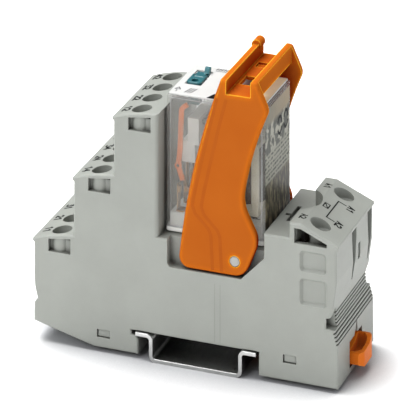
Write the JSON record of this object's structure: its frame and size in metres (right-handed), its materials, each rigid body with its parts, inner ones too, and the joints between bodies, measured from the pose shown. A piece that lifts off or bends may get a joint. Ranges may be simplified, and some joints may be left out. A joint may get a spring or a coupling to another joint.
{
  "type": "industrial control relay",
  "caption": "Plug-in relay in a stepped screw-terminal rail socket, with an orange retaining and ejecting lever, a test button with lock tab and a foot latch, on a short piece of hat rail",
  "frame": {"origin": "middle of the rail's back face, in the plane that the rail is screwed to", "axes": "+X from the contact terminals to the coil terminals, along the socket; +Y across the narrow width, along the rail; +Z out of the mounting plane, towards the relay's test button"},
  "size_m": [0.0927, 0.0324, 0.0809],
  "materials": {
    "grey_thermoplastic": "light grey moulded polyamide, fine satin grain",
    "orange_thermoplastic": "orange moulded plastic, slightly translucent, satin",
    "latch_orange": "red orange moulded plastic, satin",
    "zinc_plated_steel": "zinc plated rolled sheet with bright sheared ends",
    "plated_steel": "nickel plated steel",
    "tinned_copper": "tin plated copper alloy",
    "spring_bronze": "phosphor bronze strip",
    "copper_wire": "enamelled copper wire, lacquered",
    "cream_thermoplastic": "cream moulded plastic",
    "white_thermoplastic": "white moulded plastic",
    "white_label": "white printed label film",
    "teal_thermoplastic": "teal moulded plastic",
    "clear_polycarbonate": "clear polycarbonate, glossy"
  },
  "bodies": {
    "socket": {"socket_housing": "grey_thermoplastic", "base_cover": "grey_thermoplastic", "rail_section": "zinc_plated_steel", "lever_pins": "plated_steel", "terminal_screws_lower": "plated_steel", "terminal_screws_middle": "plated_steel", "terminal_screws_upper": "plated_steel", "terminal_screws_coil": "plated_steel", "clamp_cages_lower": "plated_steel", "clamp_cages_middle": "plated_steel", "clamp_cages_upper": "plated_steel", "clamp_cages_coil": "plated_steel", "contact_bars_lower": "tinned_copper", "contact_bars_middle": "tinned_copper", "contact_bars_upper": "tinned_copper", "contact_bars_coil": "tinned_copper", "pin_receptacles": "tinned_copper"},
    "lever": {"retaining_lever": "orange_thermoplastic"},
    "latch": {"foot_latch": "latch_orange"},
    "relay": {"relay_base": "white_thermoplastic", "relay_cover": "clear_polycarbonate", "relay_pins": "tinned_copper", "coil_bobbin": "cream_thermoplastic", "coil_winding": "copper_wire", "coil_core": "plated_steel", "yoke": "plated_steel", "return_spring": "spring_bronze", "contacts_no": "spring_bronze", "contacts_nc": "spring_bronze", "label_plate": "white_label", "test_lever_pin": "plated_steel"},
    "armature": {"armature": "plated_steel", "contact_card": "white_thermoplastic", "moving_contacts": "spring_bronze"},
    "test_lever": {"test_lever": "orange_thermoplastic"},
    "button": {"test_button": "teal_thermoplastic", "lock_tab_pin": "plated_steel"},
    "lock_tab": {"lock_tab": "teal_thermoplastic"}
  },
  "joints": [
    {"name": "lever_pivot", "type": "hinge", "parent": "socket", "child": "lever", "pos_m": [0.0111, 0, 0.0309], "axis": [0, 1, 0], "range_deg": [0, 18]},
    {"name": "relay_lift", "type": "slide", "parent": "socket", "child": "relay", "axis": [0, 0, 1], "range_m": [0, 0.00276]},
    {"name": "latch_slide", "type": "slide", "parent": "socket", "child": "latch", "axis": [1, 0, 0], "range_m": [0, 0.003], "stiffness_N_per_m": 800},
    {"name": "button_press", "type": "slide", "parent": "relay", "child": "button", "axis": [0, 0, -1], "range_m": [0, 0.0007], "stiffness_N_per_m": 400, "springref_m": -0.0005},
    {"name": "lock_tab_flip", "type": "hinge", "parent": "button", "child": "lock_tab", "pos_m": [-0.00565, 0.0021, 0.0719], "axis": [1, 0, 0], "range_deg": [0, 90]},
    {"name": "armature_pivot", "type": "hinge", "parent": "relay", "child": "armature", "pos_m": [0.0014, 0, 0.063], "axis": [0, 1, 0], "range_deg": [0, 4]},
    {"name": "test_lever_pivot", "type": "hinge", "parent": "relay", "child": "test_lever", "pos_m": [-0.0076, -0.009, 0.0519], "axis": [0, -1, 0], "range_deg": [0, 3]}
  ],
  "couplings": [
    {"joint": "lever_pivot", "follows": "relay_lift", "rad_per_m": 113.6},
    {"joint": "armature_pivot", "follows": "button_press", "rad_per_m": 99.7},
    {"joint": "test_lever_pivot", "follows": "button_press", "rad_per_m": 74.7}
  ]
}
